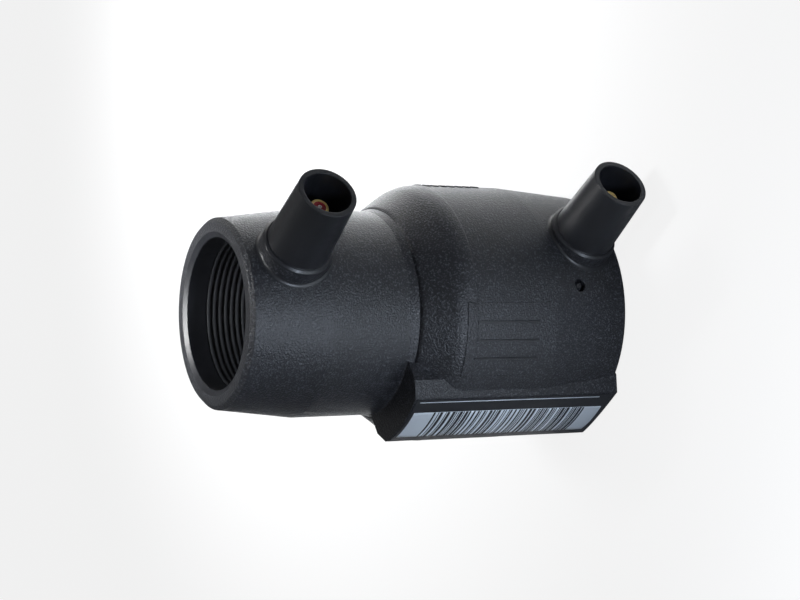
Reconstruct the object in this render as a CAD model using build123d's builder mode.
from build123d import *
import os
from math import atan2, cos, radians, sin, sqrt, tan

os.makedirs("parts", exist_ok=True)

# Driving dimensions, millimetres. The reducer stands on the face of its large end,
# with its bore along Z. The terminals point to -Y and the label pad faces -X.

# Pipes
large_pipe_diameter = 40.0
small_pipe_diameter = 32.0
pipe_clearance = 0.15  # radial, pipe to the inner bore
ridge_clearance = 0.2  # radial, pipe to the windings
entry_clearance = 0.35  # radial, pipe to the entry bore at each mouth
lead_in_width = 1.15
lead_in_height = 0.7

# Body
large_wall = 7.33  # outside the winding
large_end_drop = 1.6  # in radius, barrel to end face
large_taper_length = 19.8
small_wall = 5.13
small_end_drop = 2.1
small_taper_length = 17.6
shoulder_offset = 1.9  # past the stop of the large socket
shoulder_length = 9.0
shoulder_round = 9.0
shoulder_facets = 3  # cones that make the round of the shoulder
shoulder_hollow_bevel = 1.0
end_bevel_width = 0.9
end_bevel_height = 0.9
large_socket_depth = 41.0
small_socket_depth = 37.5
passage_length = 10.35
passage_radius = 13.0

# Windings: turns of coated wire, fused side by side
wire_coat_diameter = 1.37
winding_start = 5.25  # from the mouth
small_turns = 7
large_turns = 7
link_wire_radius = 0.5

# Terminal shrouds
small_shroud_inset = 11.05  # shroud's axis, from its end face
large_shroud_inset = 9.75
shroud_height = 18.2  # above its barrel
shroud_tip_radius = 6.2
shroud_root_radius = 6.95
shroud_bore_radius = 5.1
shroud_floor_height = 2.0  # above its barrel
collar_step = 0.75
collar_height = 2.6
collar_bevel = 0.5

# Terminals
pin_radius = 2.0
pin_recess = 4.3
pin_bevel = 0.55
flange_radius = 2.9
flange_thickness = 0.8
flange_cover = 0.7
neck_radius = 2.4
neck_stand = 0.3  # above the shroud's floor
foot_radius = 1.3
foot_length = 1.2
sleeve_wall = 0.65
insulator_length = 5.0
insulator_recess = 0.15
centre_pin_radius = 0.45
centre_pin_stand = 0.25
resistor_length = 3.0
resistor_clearance = 0.1

# Fusion indicator
indicator_z = 13.2
indicator_angle = 24.0  # from the shrouds, toward the label pad
indicator_hole_radius = 1.4
indicator_radius = 1.1
indicator_step_depth = 2.6
indicator_depth = 5.5
indicator_recess = 0.5

# Label pad
pad_stand = 0.9  # above the large barrel
pad_width = 16.8
pad_base_width = 21.0
pad_flank_drop = 3.4
pad_bottom = 0.3
pad_overhang = 0.7  # past the shoulder
label_thickness = 0.12
label_margin = 0.35

# Worked-out sizes
large_inner_radius = large_pipe_diameter / 2 + pipe_clearance
small_inner_radius = small_pipe_diameter / 2 + pipe_clearance
large_entry_radius = large_pipe_diameter / 2 + entry_clearance
small_entry_radius = small_pipe_diameter / 2 + entry_clearance
large_ridge_radius = large_pipe_diameter / 2 + ridge_clearance
small_ridge_radius = small_pipe_diameter / 2 + ridge_clearance
large_recess_radius = large_ridge_radius + wire_coat_diameter
small_recess_radius = small_ridge_radius + wire_coat_diameter
large_winding_end = winding_start + large_turns * wire_coat_diameter
body_length = large_socket_depth + passage_length + small_socket_depth
small_winding_top = body_length - winding_start
small_winding_bottom = small_winding_top - small_turns * wire_coat_diameter
small_socket_floor = body_length - small_socket_depth
large_barrel_radius = large_recess_radius + large_wall
small_barrel_radius = small_recess_radius + small_wall
large_end_radius = large_barrel_radius - large_end_drop
small_end_radius = small_barrel_radius - small_end_drop
shoulder_bottom = large_socket_depth + shoulder_offset
shoulder_top = shoulder_bottom + shoulder_length
small_shroud_z = body_length - small_shroud_inset
pad_radius = large_barrel_radius + pad_stand
pad_top = shoulder_top + pad_overhang
pad_edge = sqrt(pad_radius**2 - (pad_width / 2) ** 2)
label_bottom = pad_bottom + pad_radius - pad_edge + label_margin


def barrel_radius_at(z):
    """Outer radius of the tapered ends and the barrels at height z."""
    if z < large_taper_length:
        return large_end_radius + (large_barrel_radius - large_end_radius) * z / large_taper_length
    if z > body_length - small_taper_length:
        rise = (body_length - z) / small_taper_length
        return small_end_radius + (small_barrel_radius - small_end_radius) * rise
    return large_barrel_radius if z < shoulder_bottom else small_barrel_radius


def shroud_plane(z, distance):
    """A plane square to a shroud's axis, at a distance from the bore's axis."""
    return Plane(origin=(0, -distance, z), x_dir=(1, 0, 0), z_dir=(0, -1, 0))


shrouds = {
    "small": (small_shroud_z, small_barrel_radius, small_recess_radius),
    "large": (large_shroud_inset, large_barrel_radius, large_recess_radius),
}


def pin_sections(barrel, foot_end):
    """Radius and the two distances from the bore's axis of each length of a terminal pin."""
    tip = barrel + shroud_height - pin_recess
    floor = barrel + shroud_floor_height
    flange_top = floor - flange_cover
    flange_bottom = flange_top - flange_thickness
    foot_top = foot_end + foot_length
    return [
        (pin_radius, floor + neck_stand, tip),
        (neck_radius, flange_top, floor + neck_stand),
        (flange_radius, flange_bottom, flange_top),
        (pin_radius, foot_top, flange_bottom),
        (foot_radius, foot_end, foot_top),
    ]


def shoulder_outline():
    """Points of the shoulder, large barrel to small barrel, its round made of short cones."""
    run = shoulder_top - shoulder_bottom
    fall = large_barrel_radius - small_barrel_radius
    slope = atan2(fall, run)
    setback = shoulder_round * tan(slope / 2)
    points = []
    for step in range(shoulder_facets + 1):
        turn = slope * step / shoulder_facets
        points.append(
            (
                large_barrel_radius - shoulder_round * (1 - cos(turn)),
                shoulder_bottom - setback + shoulder_round * sin(turn),
            )
        )
    bevel = shoulder_hollow_bevel
    points.append((small_barrel_radius + bevel * sin(slope), shoulder_top - bevel * cos(slope)))
    points.append((small_barrel_radius, shoulder_top + bevel))
    return points


# Centre line of the wire that joins the two windings inside the wall
link_points = [
    (large_recess_radius - link_wire_radius, large_winding_end),
    (large_recess_radius - link_wire_radius, large_socket_depth + 1.0),
    (small_recess_radius - link_wire_radius, small_socket_floor + 1.0),
    (small_recess_radius - link_wire_radius, small_winding_bottom),
]

# Heating wire: one coated wire, wound in both sockets, with a link inside the wall.
# Its turns are fused side by side, so each winding is a sleeve as thick as the wire.
with BuildPart() as heating_wire:
    with BuildSketch(Plane.XZ):
        with Locations((large_ridge_radius, winding_start)):
            Rectangle(
                wire_coat_diameter, large_turns * wire_coat_diameter, align=(Align.MIN, Align.MIN)
            )
        with Locations((small_ridge_radius, small_winding_bottom)):
            Rectangle(
                wire_coat_diameter, small_turns * wire_coat_diameter, align=(Align.MIN, Align.MIN)
            )
    revolve(axis=Axis.Z)
    with BuildLine(Plane.XZ) as link_route:
        Polyline(*link_points)
    with BuildSketch(Plane.XY.offset(large_winding_end)):
        with Locations((link_points[0][0], 0)):
            Circle(link_wire_radius)
    sweep(path=link_route.line, transition=Transition.RIGHT)
heating_wire.part.label = "heating_wire"
export_step(heating_wire.part, "parts/heating_wire.step")

# Body: one moulding with both sockets, the shoulder, the two shrouds and the label pad
indicator_plane = Plane(
    origin=(0, 0, indicator_z),
    x_dir=(0, 0, 1),
    z_dir=(-sin(radians(indicator_angle)), -cos(radians(indicator_angle)), 0),
)
indicator_surface = barrel_radius_at(indicator_z)

with BuildPart() as body:
    with BuildSketch(Plane.XZ):
        with BuildLine():
            Polyline(
                (passage_radius, 0),
                (large_end_radius - end_bevel_width, 0),
                (large_end_radius, end_bevel_height),
                (large_barrel_radius, large_taper_length),
                *shoulder_outline(),
                (small_barrel_radius, body_length - small_taper_length),
                (small_end_radius, body_length - end_bevel_height),
                (small_end_radius - end_bevel_width, body_length),
                (passage_radius, body_length),
                close=True,
            )
        make_face()
    revolve(axis=Axis.Z)

    for shroud_z, barrel, recess in shrouds.values():
        collar_base = barrel_radius_at(shroud_z)
        collar_top = collar_base + collar_height
        with BuildSketch(shroud_plane(shroud_z, recess)):
            Circle(shroud_root_radius + collar_step)
        extrude(amount=collar_top - collar_bevel - recess)
        with BuildSketch(shroud_plane(shroud_z, collar_top - collar_bevel)):
            Circle(shroud_root_radius + collar_step)
        with BuildSketch(shroud_plane(shroud_z, collar_top)):
            Circle(shroud_root_radius + collar_step - collar_bevel)
        loft()

        shroud_tip = barrel + shroud_height
        with BuildSketch(shroud_plane(shroud_z, barrel)):
            Circle(shroud_root_radius)
        with BuildSketch(shroud_plane(shroud_z, shroud_tip)):
            Circle(shroud_tip_radius)
        loft()

    with BuildSketch(Plane.XY.offset(pad_bottom)):
        with BuildLine():
            ThreePointArc((-pad_edge, pad_width / 2), (-pad_radius, 0), (-pad_edge, -pad_width / 2))
            Polyline(
                (-pad_edge, -pad_width / 2),
                (-pad_edge + pad_flank_drop, -pad_base_width / 2),
                (-passage_radius, -pad_base_width / 2),
                (-passage_radius, pad_base_width / 2),
                (-pad_edge + pad_flank_drop, pad_base_width / 2),
                (-pad_edge, pad_width / 2),
            )
        make_face()
    extrude(amount=pad_top - pad_bottom)
    bevel_reach = 2 * (pad_radius - pad_edge)
    with BuildSketch(Plane.XZ):
        with BuildLine():
            Polyline(
                (-pad_edge, pad_bottom),
                (-pad_edge - bevel_reach, pad_bottom),
                (-pad_edge - bevel_reach, pad_bottom + bevel_reach),
                close=True,
            )
        make_face()
    extrude(amount=pad_base_width, both=True, mode=Mode.SUBTRACT)

    with BuildSketch(Plane.XZ):
        with BuildLine():
            Polyline(
                (0, 0),
                (large_entry_radius + lead_in_width, 0),
                (large_entry_radius, lead_in_height),
                (large_entry_radius, winding_start),
                (large_recess_radius, winding_start),
                (large_recess_radius, large_winding_end),
                (large_inner_radius, large_winding_end),
                (large_inner_radius, large_socket_depth),
                (passage_radius, large_socket_depth),
                (passage_radius, small_socket_floor),
                (small_inner_radius, small_socket_floor),
                (small_inner_radius, small_winding_bottom),
                (small_recess_radius, small_winding_bottom),
                (small_recess_radius, small_winding_top),
                (small_entry_radius, small_winding_top),
                (small_entry_radius, body_length - lead_in_height),
                (small_entry_radius + lead_in_width, body_length),
                (0, body_length),
                close=True,
            )
        make_face()
    revolve(axis=Axis.Z, mode=Mode.SUBTRACT)

    for shroud_z, barrel, recess in shrouds.values():
        with BuildSketch(shroud_plane(shroud_z, barrel + shroud_floor_height)):
            Circle(shroud_bore_radius)
        extrude(amount=shroud_height - shroud_floor_height, mode=Mode.SUBTRACT)
        for radius, start, end in pin_sections(barrel, recess):
            with BuildSketch(shroud_plane(shroud_z, start)):
                Circle(radius)
            extrude(amount=end - start, mode=Mode.SUBTRACT)

    for radius, depth in (
        (indicator_hole_radius, indicator_step_depth),
        (indicator_radius, indicator_depth),
    ):
        with BuildSketch(indicator_plane.offset(indicator_surface - depth)):
            Circle(radius)
        extrude(amount=depth + large_barrel_radius - indicator_surface, mode=Mode.SUBTRACT)

    add(heating_wire.part, mode=Mode.SUBTRACT)

body.part.label = "reducer_body"
export_step(body.part, "parts/reducer_body.step")


# Large-end terminal: a solid brass pin
with BuildPart() as large_pin:
    for radius, start, end in pin_sections(large_barrel_radius, large_recess_radius):
        with BuildSketch(shroud_plane(large_shroud_inset, start)):
            Circle(radius)
        extrude(amount=end - start)
    large_pin_rim = edges().filter_by(GeomType.CIRCLE).sort_by(Axis.Y)[0]
    chamfer(large_pin_rim, pin_bevel)
large_pin.part.label = "large_terminal_pin"
export_step(large_pin.part, "parts/large_terminal_pin.step")

# Small-end terminal: a brass sleeve that holds an insulated centre pin and a resistor
small_tip = small_barrel_radius + shroud_height - pin_recess
sleeve_bore_radius = pin_radius - sleeve_wall
insulator_top = small_tip - insulator_recess
insulator_bottom = insulator_top - insulator_length
resistor_bottom = insulator_bottom - resistor_length

with BuildPart() as small_sleeve:
    for radius, start, end in pin_sections(small_barrel_radius, small_recess_radius):
        with BuildSketch(shroud_plane(small_shroud_z, start)):
            Circle(radius)
        extrude(amount=end - start)
    sleeve_rim = edges().filter_by(GeomType.CIRCLE).sort_by(Axis.Y)[0]
    chamfer(sleeve_rim, sleeve_wall / 3)
    with BuildSketch(shroud_plane(small_shroud_z, resistor_bottom)):
        Circle(sleeve_bore_radius)
    extrude(amount=small_tip - resistor_bottom, mode=Mode.SUBTRACT)
small_sleeve.part.label = "small_terminal_sleeve"
export_step(small_sleeve.part, "parts/small_terminal_sleeve.step")

with BuildPart() as insulator:
    with BuildSketch(shroud_plane(small_shroud_z, insulator_bottom)):
        Circle(sleeve_bore_radius)
        Circle(centre_pin_radius, mode=Mode.SUBTRACT)
    extrude(amount=insulator_length)
insulator.part.label = "terminal_insulator"
export_step(insulator.part, "parts/terminal_insulator.step")

with BuildPart() as centre_pin:
    with BuildSketch(shroud_plane(small_shroud_z, insulator_bottom)):
        Circle(centre_pin_radius)
    extrude(amount=insulator_length + centre_pin_stand)
    pin_rim = edges().filter_by(GeomType.CIRCLE).sort_by(Axis.Y)[0]
    chamfer(pin_rim, centre_pin_radius / 2)
centre_pin.part.label = "terminal_centre_pin"
export_step(centre_pin.part, "parts/terminal_centre_pin.step")

with BuildPart() as resistor:
    with BuildSketch(shroud_plane(small_shroud_z, resistor_bottom)):
        Circle(sleeve_bore_radius - resistor_clearance)
    extrude(amount=resistor_length)
resistor.part.label = "identification_resistor"
export_step(resistor.part, "parts/identification_resistor.step")

# Fusion indicator: a small post that rises in its hole when the joint is fused
with BuildPart() as indicator:
    indicator_foot = indicator_surface - indicator_depth
    indicator_top = indicator_surface - indicator_recess
    with BuildSketch(indicator_plane.offset(indicator_foot)):
        Circle(indicator_radius)
    extrude(amount=indicator_top - indicator_foot)
    indicator_rim = edges().filter_by(GeomType.CIRCLE).sort_by(
        Axis(indicator_plane.origin, indicator_plane.z_dir)
    )[-1]
    chamfer(indicator_rim, indicator_radius / 2)
indicator.part.label = "fusion_indicator"
export_step(indicator.part, "parts/fusion_indicator.step")

# Label: a thin foil on the curved face of the pad
with BuildPart() as label:
    half_width = pad_width / 2 - label_margin
    inner_x = -sqrt(pad_radius**2 - half_width**2)
    outer_radius = pad_radius + label_thickness
    outer_x = -sqrt(outer_radius**2 - half_width**2)
    with BuildSketch(Plane.XY.offset(label_bottom)):
        with BuildLine():
            ThreePointArc((inner_x, half_width), (-pad_radius, 0), (inner_x, -half_width))
            Line((inner_x, -half_width), (outer_x, -half_width))
            ThreePointArc((outer_x, -half_width), (-outer_radius, 0), (outer_x, half_width))
            Line((outer_x, half_width), (inner_x, half_width))
        make_face()
    extrude(amount=pad_top - label_margin - label_bottom)
label.part.label = "label"
export_step(label.part, "parts/label.step")
